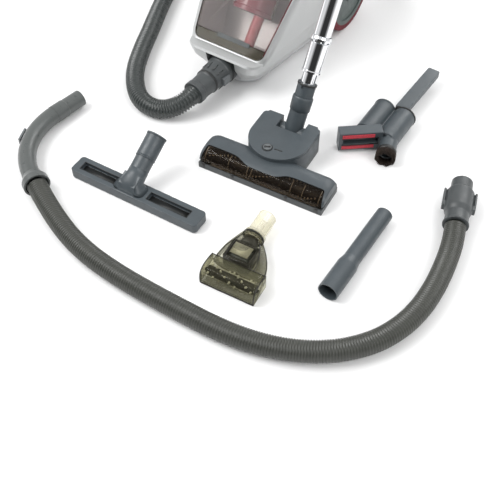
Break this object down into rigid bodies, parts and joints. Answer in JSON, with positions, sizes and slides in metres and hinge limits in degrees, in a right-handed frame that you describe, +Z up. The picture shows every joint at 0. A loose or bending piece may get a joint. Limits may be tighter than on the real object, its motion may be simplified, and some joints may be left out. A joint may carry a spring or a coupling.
{
  "type": "canister vacuum cleaner",
  "caption": "Canister vacuum cleaner with clear dust bin, fitted hose, chrome wand and turbo power head, with a spare hose and loose cleaning tools laid beside it.",
  "frame": {"origin": "centre of the floor rectangle that the cleaner, wand and tools cover, at floor level, without the hoses", "axes": "+X to the right seen from the front, +Y from the nose of the canister to its rear wheels, +Z up"},
  "size_m": [0.9361, 1.1098, 0.7242],
  "materials": {
    "silver_shell": "satin metallic moulded plastic",
    "grey_shell": "matt moulded plastic",
    "dark_plastic": "fine textured moulded plastic",
    "blue_grey_plastic": "satin moulded plastic",
    "clear_plastic": "clear moulded plastic",
    "amber_plastic": "smoky tinted clear plastic",
    "smoky_window": "smoky tinted clear plastic",
    "smoky_tool": "smoky tinted clear plastic",
    "maroon_plastic": "gloss moulded plastic",
    "red_plastic": "gloss moulded plastic",
    "foam": "open foam",
    "filter_paper": "pleated filter paper",
    "motor_steel": "pressed steel can",
    "alloy": "turned and cast alloy",
    "black_rubber": "moulded rubber",
    "wheel_plastic": "fine textured moulded plastic",
    "tyre_rubber": "soft moulded tread",
    "axle_steel": "ground steel",
    "screw_steel": "zinc plated steel",
    "chrome_tube": "bright chromed tube",
    "hose_plastic": "corrugated soft plastic",
    "grey_button": "moulded button",
    "red_button": "moulded button",
    "roller_plastic": "roller with bristle rows",
    "brush_hair": "trimmed bristle",
    "lint_fabric": "short pile fabric",
    "pale_plastic": "milky clear plastic"
  },
  "bodies": {
    "root": {"base_pan": "grey_shell", "upper_shell": "silver_shell", "top_deck": "dark_plastic", "inlet_collar": "dark_plastic", "hose_cuff": "dark_plastic", "motor_housing": "motor_steel", "motor_mounts": "black_rubber", "exhaust_filter": "filter_paper", "reel_spindle": "grey_shell", "cord_outlet": "dark_plastic", "wheel_axles": "axle_steel", "housing_screws": "screw_steel", "hose": "hose_plastic", "hose_handle": "dark_plastic", "wand_upper": "chrome_tube"},
    "cuff_latch": {"cuff_button": "grey_button"},
    "dust_bin": {"bin_box": "clear_plastic", "cyclone_cone": "maroon_plastic", "inlet_pipe": "red_plastic", "bin_cap": "silver_shell", "pre_filter": "foam", "carry_handle": "dark_plastic"},
    "bin_bottom": {"bin_flap": "amber_plastic"},
    "catch": {"flap_catch": "dark_plastic"},
    "fan": {"motor_fan": "alloy"},
    "reel": {"cord_reel": "grey_shell"},
    "rear_cover": {"exhaust_cover": "dark_plastic"},
    "power_key": {"power_button": "red_button"},
    "rewind_key": {"rewind_button": "grey_button"},
    "wheel_left": {"left_wheel": "wheel_plastic", "left_tyre": "tyre_rubber"},
    "wheel_right": {"right_wheel": "wheel_plastic", "right_tyre": "tyre_rubber"},
    "caster": {"caster_fork": "dark_plastic"},
    "caster_roller": {"caster_wheel": "black_rubber"},
    "suction_slider": {"handle_slider": "grey_button"},
    "wand_bottom": {"wand_lower": "chrome_tube", "neck_sleeve": "blue_grey_plastic"},
    "wand_collar": {"wand_lock": "dark_plastic"},
    "neck": {"head_neck": "blue_grey_plastic"},
    "power_head": {"head_base": "dark_plastic", "head_cover": "blue_grey_plastic", "head_window": "smoky_window", "drive_belt": "black_rubber"},
    "turn_lock": {"lock_dial": "grey_button"},
    "air_turbine": {"turbine": "grey_shell"},
    "brush": {"brush_roll": "roller_plastic"},
    "spare_hose": {"loose_hose": "hose_plastic", "loose_handle": "dark_plastic", "loose_connector": "dark_plastic"},
    "spare_slider": {"loose_slider": "grey_button"},
    "hard_floor_tool": {"floor_nozzle": "blue_grey_plastic", "nozzle_neck": "blue_grey_plastic"},
    "turbo_tool": {"mini_body": "smoky_tool", "mini_neck": "pale_plastic"},
    "turbo_roller": {"mini_roller": "roller_plastic"},
    "crevice_tool": {"crevice_tube": "blue_grey_plastic"},
    "combination_tool": {"combo_body": "blue_grey_plastic", "combo_brush": "brush_hair", "lint_strips": "lint_fabric"},
    "crevice_blade": {"combo_blade": "blue_grey_plastic"}
  },
  "joints": [
    {"name": "cuff_button_press", "type": "slide", "parent": "root", "child": "cuff_latch", "axis": [-0.9972, 0.075, 0], "range_m": [0, 0.002], "stiffness_N_per_m": 400},
    {"name": "bin_lift", "type": "slide", "parent": "root", "child": "dust_bin", "axis": [0, 0.6691, 0.7431], "range_m": [0, 0.12]},
    {"name": "flap_hinge", "type": "hinge", "parent": "dust_bin", "child": "bin_bottom", "pos_m": [-0.1135, 0.1056, 0.036], "axis": [1, 0, 0], "range_deg": [0, 56]},
    {"name": "catch_slide", "type": "slide", "parent": "dust_bin", "child": "catch", "axis": [1, 0, 0], "range_m": [0, 0.004], "stiffness_N_per_m": 150},
    {"name": "fan_spin", "type": "hinge", "parent": "root", "child": "fan", "pos_m": [-0.1495, 0.3065, 0.095], "axis": [1, 0, 0], "continuous": true},
    {"name": "reel_spin", "type": "hinge", "parent": "root", "child": "reel", "pos_m": [-0.0725, 0.3065, 0.095], "axis": [1, 0, 0], "continuous": true},
    {"name": "rear_cover_hinge", "type": "hinge", "parent": "root", "child": "rear_cover", "pos_m": [-0.1135, 0.4227, 0.0905], "axis": [-1, 0, 0], "range_deg": [0, 90]},
    {"name": "power_button_press", "type": "slide", "parent": "root", "child": "power_key", "axis": [0, 0, -1], "range_m": [0, 0.003], "stiffness_N_per_m": 600, "springref_m": -0.002},
    {"name": "rewind_button_press", "type": "slide", "parent": "root", "child": "rewind_key", "axis": [0, 0, -1], "range_m": [0, 0.003], "stiffness_N_per_m": 600, "springref_m": -0.002},
    {"name": "left_wheel_spin", "type": "hinge", "parent": "root", "child": "wheel_left", "pos_m": [-0.2245, 0.3245, 0.085], "axis": [1, 0, 0], "continuous": true},
    {"name": "right_wheel_spin", "type": "hinge", "parent": "root", "child": "wheel_right", "pos_m": [-0.0025, 0.3245, 0.085], "axis": [1, 0, 0], "continuous": true},
    {"name": "caster_swivel", "type": "hinge", "parent": "root", "child": "caster", "pos_m": [-0.1135, 0.1485, 0.022], "axis": [0, 0, 1], "continuous": true},
    {"name": "caster_spin", "type": "hinge", "parent": "caster", "child": "caster_roller", "pos_m": [-0.1135, 0.1585, 0.009], "axis": [1, 0, 0], "continuous": true},
    {"name": "suction_slide", "type": "slide", "parent": "root", "child": "suction_slider", "axis": [0, 0.8536, 0.521], "range_m": [0, 0.008]},
    {"name": "wand_telescope", "type": "slide", "parent": "root", "child": "wand_bottom", "axis": [0, 0.4787, 0.878], "range_m": [0, 0.125]},
    {"name": "wand_lock_slide", "type": "slide", "parent": "root", "child": "wand_collar", "axis": [0, 0.4787, 0.878], "range_m": [0, 0.005], "stiffness_N_per_m": 300},
    {"name": "neck_swivel", "type": "hinge", "parent": "wand_bottom", "child": "neck", "pos_m": [0.0939, -0.0466, 0.05897], "axis": [0, 0.4787, 0.878], "range_deg": [-35, 35]},
    {"name": "head_pitch", "type": "hinge", "parent": "neck", "child": "power_head", "pos_m": [0.0939, -0.0624, 0.03], "axis": [0.9972, 0.075, 0], "range_deg": [-28, 40]},
    {"name": "turn_lock_turn", "type": "hinge", "parent": "power_head", "child": "turn_lock", "pos_m": [0.08689, -0.1433, 0.052], "axis": [0, 0, 1], "range_deg": [0, 90]},
    {"name": "turbine_spin", "type": "hinge", "parent": "power_head", "child": "air_turbine", "pos_m": [0.09701, -0.10443, 0.026], "axis": [0.9972, 0.075, 0], "continuous": true},
    {"name": "brush_spin", "type": "hinge", "parent": "power_head", "child": "brush", "pos_m": [0.10485, -0.18206, 0.02], "axis": [0.9972, 0.075, 0], "continuous": true},
    {"name": "spare_hose_lift", "type": "slide", "parent": "root", "child": "spare_hose", "axis": [0, 0, 1], "range_m": [0, 0.1]},
    {"name": "spare_suction_slide", "type": "slide", "parent": "spare_hose", "child": "spare_slider", "axis": [0.3745, -0.9268, 0.0279], "range_m": [0, 0.008]},
    {"name": "floor_tool_lift", "type": "slide", "parent": "root", "child": "hard_floor_tool", "axis": [0, 0, 1], "range_m": [0, 0.1]},
    {"name": "turbo_tool_lift", "type": "slide", "parent": "root", "child": "turbo_tool", "axis": [0, 0, 1], "range_m": [0, 0.1]},
    {"name": "turbo_roller_spin", "type": "hinge", "parent": "turbo_tool", "child": "turbo_roller", "pos_m": [0.18693, -0.41256, 0.019], "axis": [0.9969, 0.0785, 0], "continuous": true},
    {"name": "crevice_tool_lift", "type": "slide", "parent": "root", "child": "crevice_tool", "axis": [0, 0, 1], "range_m": [0, 0.1]},
    {"name": "combination_tool_lift", "type": "slide", "parent": "root", "child": "combination_tool", "axis": [0, 0, 1], "range_m": [0, 0.1]},
    {"name": "blade_turn", "type": "hinge", "parent": "combination_tool", "child": "crevice_blade", "pos_m": [0.2405, 0.1265, 0.026], "axis": [0, 1, 0], "range_deg": [0, 90]}
  ],
  "couplings": [
    {"joint": "flap_hinge", "follows": "bin_lift", "rad_per_m": 8},
    {"joint": "brush_spin", "follows": "turbine_spin", "ratio": 0.625}
  ]
}
